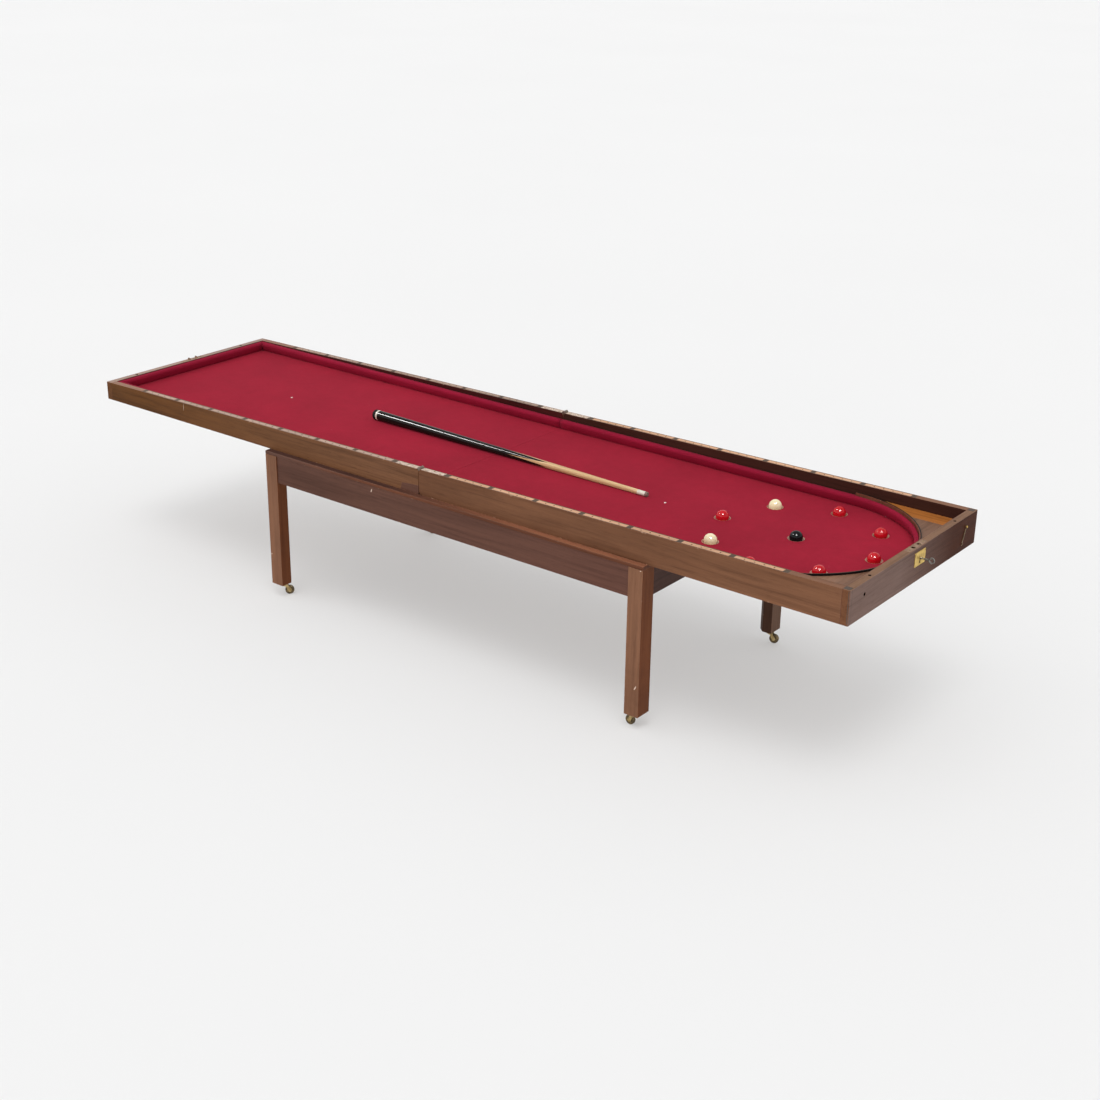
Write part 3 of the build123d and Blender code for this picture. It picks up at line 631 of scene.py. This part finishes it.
RIGHT_START = SEAM_X + SEAM_GAP
RIGHT_RUN = RING_X - RIGHT_START
ARC_RUN = math.pi * ARC_BACK_R
STRAIGHT_END = RING_X - 0.0001
cup_end_run = straight_stations(-1, RIGHT_START, STRAIGHT_END, 60)
cup_end_run += arc_stations(96, RIGHT_RUN)
cup_end_run += straight_stations(1, STRAIGHT_END, RIGHT_START, 60, RIGHT_RUN + ARC_RUN)
cup_end_cushion = cushion("cushion_right", "board", cup_end_run, 1.0)
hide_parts("cushions_right")
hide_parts("cushion_arc")
for side, word in SIDES:
    run = straight_stations(side, SEAM_X - SEAM_GAP, LEFT_WALL_X, 80, mitre=1.0)
    left_cushion = cushion(f"cushion_left_{word}", "board_left", run, 2.0 + side)
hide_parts("cushions_left")
cushion("cushion_left_end", "board_left", end_stations(44), 5.0)


# ------------------------------------------------------------------ bed cloth

EIGHTHS = [k * math.pi / 4 for k in range(8)]
CUPS = [(RING_X + RING_R * math.cos(a), RING_R * math.sin(a)) for a in EIGHTHS]
CUPS.append((RING_X, 0.0))
THICK = BED_Z - BED_LOW_Z
CUP_HOLE = CUP_R + 0.00005
CLOTH_GAP = 0.0004


def spline_loop(curve, points):
    line = curve.splines.new("POLY")
    line.points.add(len(points) - 1)
    for point, (x, y) in zip(line.points, points):
        point.co = (x, y, 0, 1)
    line.use_cyclic_u = True


def bed_cloth(name, x0, x1, holes, body, node):
    """A stretched cloth with round holes, filled and thickened from closed outlines."""
    curve = bpy.data.curves.new(name, "CURVE")
    curve.dimensions = "2D"
    curve.fill_mode = "BOTH"
    curve.extrude = THICK / 2 - 0.00005
    spline_loop(curve, [(x0, -WALL_Y), (x1, -WALL_Y), (x1, WALL_Y), (x0, WALL_Y)])
    for cx, cy in holes:
        turns = [k * math.tau / 48 for k in range(48)]
        spline_loop(curve, [(cx + CUP_HOLE * math.cos(t), cy + CUP_HOLE * math.sin(t)) for t in turns])
    shape = link(bpy.data.objects.new(name + "_curve", curve))
    bpy.context.view_layer.update()
    mesh = bpy.data.meshes.new_from_object(shape.evaluated_get(bpy.context.evaluated_depsgraph_get()))
    bpy.data.objects.remove(shape)
    mesh.transform(Matrix.Translation((0, 0, (BED_Z + BED_LOW_Z) / 2)))
    mesh.name = name
    mesh.materials.clear()
    mesh.materials.append(LOOKS["bed"])
    piece = link(bpy.data.objects.new(name, mesh))
    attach(piece, body)
    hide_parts(node)


bed_cloth("bed_cloth_right", SEAM_X + CLOTH_GAP, RIGHT_WALL_X, CUPS, "board", "cloth_right")
bed_cloth("bed_cloth_left", LEFT_WALL_X, SEAM_X - CLOTH_GAP, [], "board_left", "cloth_left")


# ------------------------------------------------------------------ corner floors of the cup end

CORNER_SPLIT = 0.232
CORNER_INNER = 0.012
CORNER_GAP = 0.0006
CORNER_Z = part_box("corner_floors")[1][2]


def corner_piece(name, side, inner, outer, look):
    """The board between the arc's outer face and the end rail, from y = inner to y = outer."""
    radius = WALL_Y - 0.0001
    start = math.asin(min(1.0, inner / radius))
    stop = math.asin(min(1.0, outer / radius))
    curve = [start + (stop - start) * k / 24 for k in range(25)]
    outline = [(RING_X + radius * math.cos(a), side * radius * math.sin(a)) for a in curve]
    outline += [(RIGHT_WALL_X, side * outer), (RIGHT_WALL_X, side * inner)]
    rings = [[(x, y, z) for x, y in outline] for z in (BED_Z + 0.0001, CORNER_Z - 0.0006)]
    rings.append([(x - 0.0004 * (x > RIGHT_WALL_X - 0.001), y, CORNER_Z) for x, y in outline])
    piece = new_piece(name, *sweep(rings), look, "board", smooth=False)
    return piece


for side, word in SIDES:
    rail_board = corner_piece(f"corner_rail_board_{word}", side, CORNER_SPLIT, WALL_Y - 0.0001, "corner_light")
    corner_piece(f"corner_end_board_{word}", side, CORNER_INNER, CORNER_SPLIT - CORNER_GAP, "corner_dark")
    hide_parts("corner_floors")


# ------------------------------------------------------------------ screws, pins, spots and patches

SCREW_PROUD = 0.0001
SCREW_DEEP = -0.0006
RIM_LIFT = 0.00002
HINGE_SCREW_R = 0.0029
LOCK_SCREW_R = 0.0028
PIN_R = 0.0015


def basis(normal, turn):
    """Axes whose Z is the normal, turned about it."""
    upright = Vector(normal).normalized().to_track_quat("Z", "Y").to_matrix()
    return upright @ Matrix.Rotation(turn, 3, "Z")


def screw_head(name, centre, normal, radius, body, turn):
    """A countersunk head: two domed halves either side of a slot."""
    axes = basis(normal, turn)
    slot_half = radius * 0.13
    vertices, faces = [], []
    for half in (-1, 1):
        outline = []
        first = math.asin(slot_half / radius)
        for k in range(13):
            angle = first + (math.pi - 2 * first) * k / 12
            outline.append((radius * math.cos(angle), half * radius * math.sin(angle)))
        start = len(vertices)
        levels = ((1.0, SCREW_DEEP), (1.0, SCREW_PROUD * 0.4), (0.86, SCREW_PROUD))
        for scale, height in levels:
            for x, y in outline:
                inward = y if abs(y) <= slot_half * 1.02 else y * scale
                vertices.append(Vector(centre) + axes @ Vector((x * scale, inward, height)))
        count = len(outline)
        for level in range(2):
            for k in range(count):
                a = start + level * count + k
                b = start + level * count + (k + 1) % count
                faces.append((a, b, b + count, a + count))
        faces.append(tuple(range(start, start + count)))
        faces.append(tuple(range(start + 2 * count, start + 3 * count)))
    piece = new_piece(name, vertices, faces, "brass_dark", body, smooth=False)


RIM_NORMAL = Vector((-RIM_RISE, 0, 1)).normalized()


def on_rim(x, y):
    return Vector((x, y, rim_z(x))) + RIM_NORMAL * RIM_LIFT


SCREW_STEPS = (0.019, 0.043, 0.067)
SCREW_STAGGER = 0.0035
for side, body in ((-1, "board_left"), (1, "board")):
    for y, word in ((-STRIP_Y, "near"), (STRIP_Y, "far")):
        for k, step in enumerate(SCREW_STEPS):
            place = on_rim(SEAM_X + side * step, y + (SCREW_STAGGER if k % 2 else -SCREW_STAGGER))
            name = f"hinge_screw_{BODY_SIDE[body]}_{word}_{k}"
            screw_head(name, place, RIM_NORMAL, HINGE_SCREW_R, body, random.uniform(0, math.pi))

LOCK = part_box("lock_case")
LOCK_X = (LOCK[0][0] + LOCK[1][0]) / 2
LOCK_Y = (LOCK[0][1] + LOCK[1][1]) / 2
STRIKE_X = 2 * SEAM_X - LOCK_X
for k, step in enumerate((-0.035, 0.035)):
    for word, x, body, turn in (("lock", LOCK_X, "board", 0.4), ("strike", STRIKE_X, "board_left", 0.9)):
        place = on_rim(x, LOCK_Y + step)
        screw_head(f"{word}_screw_{k}", place, RIM_NORMAL, LOCK_SCREW_R, body, turn + k)

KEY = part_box("lock_key")
KEY_Y = (KEY[0][1] + KEY[1][1]) / 2
PLATE_LOW, PLATE_HIGH, PLATE_THICK = 0.462, 0.496, 0.0010
PLATE_FACE_X = END_FACE_X + PLATE_THICK
PIN_Y, PIN_INSET = 0.0215, 0.0035
for k in range(4):
    z = PLATE_LOW + PIN_INSET if k < 2 else PLATE_HIGH - PIN_INSET
    centre = (PLATE_FACE_X, KEY_Y + (PIN_Y if k % 2 else -PIN_Y), z)
    screw_head(f"escutcheon_pin_{k}", centre, (1, 0, 0), PIN_R, "board", 0.7 * k)


def bed_spot(name, x, y, body):
    """A small inlaid spot, flush in the cloth."""
    rings = []
    for radius, height in ((0.0030, -0.0004), (0.0030, 0.00005), (0.0026, 0.00030)):
        turns = [k * math.tau / 20 for k in range(20)]
        rings.append([(x + radius * math.cos(t), y + radius * math.sin(t), BED_Z + height) for t in turns])
    piece = new_piece(name, *sweep(rings), "spot", body)


SPOT_Y = -0.006
bed_spot("spot_left", SEAM_X - 0.765, SPOT_Y, "board_left")
bed_spot("spot_right", SEAM_X + 0.544, SPOT_Y, "board")

APRON_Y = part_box("apron_front")[0][1]
STAND_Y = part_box("cap_strips")[0][1]
RAIL_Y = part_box("rail_near_left")[0][1]


def repair_patch():
    """A darker block let into the foot of the near rail beside the seam."""
    outline = [(-0.062, 0.0004), (-0.0006, 0.0004), (-0.0006, 0.0240), (-0.020, 0.0225), (-0.056, 0.0190)]
    middle = (sum(p[0] for p in outline) / 5, sum(p[1] for p in outline) / 5)
    rings = []
    for depth, inset in ((0.0015, 0.0), (-0.00015, 0.0), (-0.00035, 0.0004)):
        ring = []
        for x, z in outline:
            dx, dz = middle[0] - x, middle[1] - z
            size = math.hypot(dx, dz)
            lean = inset / size
            ring.append((SEAM_X + x + dx * lean, RAIL_Y + depth, BOARD_LOW + z + dz * lean))
        rings.append(ring)
    piece = new_piece("seam_repair_patch", *sweep(rings), "apron", "board_left", smooth=False)


repair_patch()


def chip(name, x, z, face_y, width, height, lean, body):
    """A pale irregular nick on a face that looks towards -Y, x measured from the seam."""
    outline = [(-0.5, -0.35), (-0.1, -0.5), (0.5, -0.2), (0.35, 0.3), (0.05, 0.5), (-0.35, 0.2)]
    rings = []
    for depth, scale in ((0.0004, 1.0), (-0.00008, 1.0), (-0.00016, 0.8)):
        ring = []
        for u, v in outline:
            across, up = u * width * scale, v * height * scale
            ring.append((SEAM_X + x + across + lean * up, face_y + depth, z + up))
        rings.append(ring)
    piece = new_piece(name, *sweep(rings), "chip", body, smooth=False)


chip("chip_apron", -0.150, 0.402, APRON_Y, 0.0030, 0.0100, 0.3, "stand")
chip("chip_leg_right", 0.693, 0.113, STAND_Y, 0.0034, 0.0120, 0.4, "stand")
chip("chip_leg_right_top", 0.697, 0.4128, STAND_Y, 0.0036, 0.0026, 0.2, "stand")
chip("chip_leg_left", -0.5345, 0.124, STAND_Y, 0.0050, 0.0035, 0.0, "stand")
chip("scratch_rail_left", -0.885, BOARD_LOW + 0.044, RAIL_Y, 0.0009, 0.0220, 0.05, "board_left")


def slab(name, low, high, look, body):
    """A small flat piece between two corners, its top arrises eased."""
    (x0, y0, z0), (x1, y1, z1) = low, high
    ease = min(x1 - x0, y1 - y0, z1 - z0) * 0.2
    rings = []
    for inset, z in ((0, z0), (0, z1 - ease), (ease, z1)):
        rings.append([(x0 + inset, y0 + inset, z), (x1 - inset, y0 + inset, z),
                      (x1 - inset, y1 - inset, z), (x0 + inset, y1 - inset, z)])
    piece = new_piece(name, *sweep(rings), look, body, smooth=False)
    return piece


INLAY_X = (END_FACE_X - 0.0195, END_FACE_X - 0.0032)
INLAY_Y = (0.3018, 0.2870)
JOINT_LOW, JOINT_HIGH = BOARD_LOW + 0.004, rim_z(END_FACE_X) - 0.0015
KEYHOLE_HALF_W = 0.0019
KEYHOLE_LOW, KEYHOLE_HIGH = 0.4665, 0.4768


def corner_inlay(name, side):
    """The dark square let into the rim where the long rail meets the cup end's rail."""
    x0, x1 = INLAY_X
    y0, y1 = sorted(side * y for y in INLAY_Y)
    top = rim_z(x0)
    piece = slab(name, (x0, y0, top - 0.0008), (x1, y1, top + 0.0004), "inlay", "board")
    for vertex in piece.data.vertices:
        vertex.co.z += RIM_RISE * (vertex.co.x - x0)


for side, word in SIDES:
    corner_inlay(f"rim_corner_inlay_{word}", side)
slab("corner_joint_line", (END_FACE_X - 0.0044, -0.30512, JOINT_LOW),
     (END_FACE_X - 0.0028, -0.3045, JOINT_HIGH), "inlay", "board")
slab("keyhole_shade", (PLATE_FACE_X - 0.0002, KEY_Y - KEYHOLE_HALF_W, KEYHOLE_LOW),
     (PLATE_FACE_X + 0.0002, KEY_Y + KEYHOLE_HALF_W, KEYHOLE_HIGH), "hole", "board")
slab("end_joint_line", (END_FACE_X - 0.0003, -0.2968, JOINT_LOW),
     (END_FACE_X + 0.00012, -0.2961, JOINT_HIGH), "inlay", "board")


# ------------------------------------------------------------------ stage, light and camera

HORIZON, ZENITH = 1.30, 0.42
FLOOR_REACH = 60.0
FLOOR_GLOW = 0.315


def floor():
    """A pale, faintly glowing floor just under the castors."""
    s = Shader("studio_floor")
    patchy = s.noise(s.coords(), 0.5, 2, 0.5)
    tone = s.ramp(patchy, [(0.3, (0.535, 0.535, 0.535)), (0.7, (0.545, 0.545, 0.545))])
    s.set(Base_Color=tone, Roughness=0.9, Specular_IOR_Level=0.1)
    s.set(Emission_Color=(1, 1, 1, 1), Emission_Strength=FLOOR_GLOW)
    mesh = bpy.data.meshes.new("floor")
    corners = [(FLOOR_REACH * x, FLOOR_REACH * y, 0) for x, y in ((-1, -1), (1, -1), (1, 1), (-1, 1))]
    mesh.from_pydata(corners, [], [(0, 1, 2, 3)])
    ground = link(bpy.data.objects.new("floor", mesh))
    mesh.materials.append(s.material)
    ground.location.z = -0.0003


def sun(name, direction, strength, spread):
    """A sun that shines along direction; spread is its width in degrees."""
    data = bpy.data.lights.new(name, "SUN")
    data.energy = strength
    data.angle = math.radians(spread)
    lamp = link(bpy.data.objects.new(name, data))
    lamp.rotation_euler = (-Vector(direction)).to_track_quat("Z", "Y").to_euler()
    return lamp


def lights():
    """A pale studio: brighter towards the horizon than overhead, wide soft suns, and two lamps that show
    only in highlights."""
    world = bpy.data.worlds.new("studio")
    bpy.context.scene.world = world
    world.use_nodes = True
    nodes, links = world.node_tree.nodes, world.node_tree.links
    direction = nodes.new("ShaderNodeTexCoord").outputs["Generated"]
    height = nodes.new("ShaderNodeSeparateXYZ")
    links.new(direction, height.inputs["Vector"])
    ramp = nodes.new("ShaderNodeMapRange")
    links.new(height.outputs["Z"], ramp.inputs["Value"])
    for socket, value in (("From Min", 0.0), ("From Max", 1.0), ("To Min", HORIZON), ("To Max", ZENITH)):
        ramp.inputs[socket].default_value = value
    links.new(ramp.outputs["Result"], nodes["Background"].inputs["Strength"])
    nodes["Background"].inputs["Color"].default_value = (1, 1, 1, 1)
    sun("overhead", (0.0, 0.20, -1.0), 0.40, 60)
    sun("key", (-0.17, 0.30, -0.94), 0.60, 26)
    softbox = sun("softbox", (-0.34, 0.41, -0.85), 6.5, 24)
    softbox.visible_diffuse = False
    strip = sun("strip", (0.631, 0.345, -0.694), 1.8, 8)
    strip.visible_diffuse = False
    sun("front", (0.25, 0.85, -0.45), 0.50, 80)


LENS_MM, SENSOR_MM = 56.03, 36.0
EYE = (SEAM_X + 2.7326, -3.2742, 1.9594)
HEADING, PITCH, ROLL = math.radians(127.905), math.radians(-22.698), math.radians(0.777)


def camera():
    """The camera of the picture: heading is from +X towards +Y, and pitch is negative looking down."""
    data = bpy.data.cameras.new("photo_view")
    data.sensor_width = SENSOR_MM
    data.lens = LENS_MM
    data.clip_end = 200
    eye = link(bpy.data.objects.new("photo_view", data))
    eye.location = EYE
    across = math.cos(PITCH)
    gaze = Vector((across * math.cos(HEADING), across * math.sin(HEADING), math.sin(PITCH)))
    level = (-gaze).to_track_quat("Z", "Y").to_matrix()
    eye.rotation_euler = (level @ Matrix.Rotation(ROLL, 3, "Z")).to_euler()
    bpy.context.scene.camera = eye


floor()
lights()
camera()
bpy.context.scene.view_settings.view_transform = "Standard"
bpy.context.scene.view_settings.look = "None"
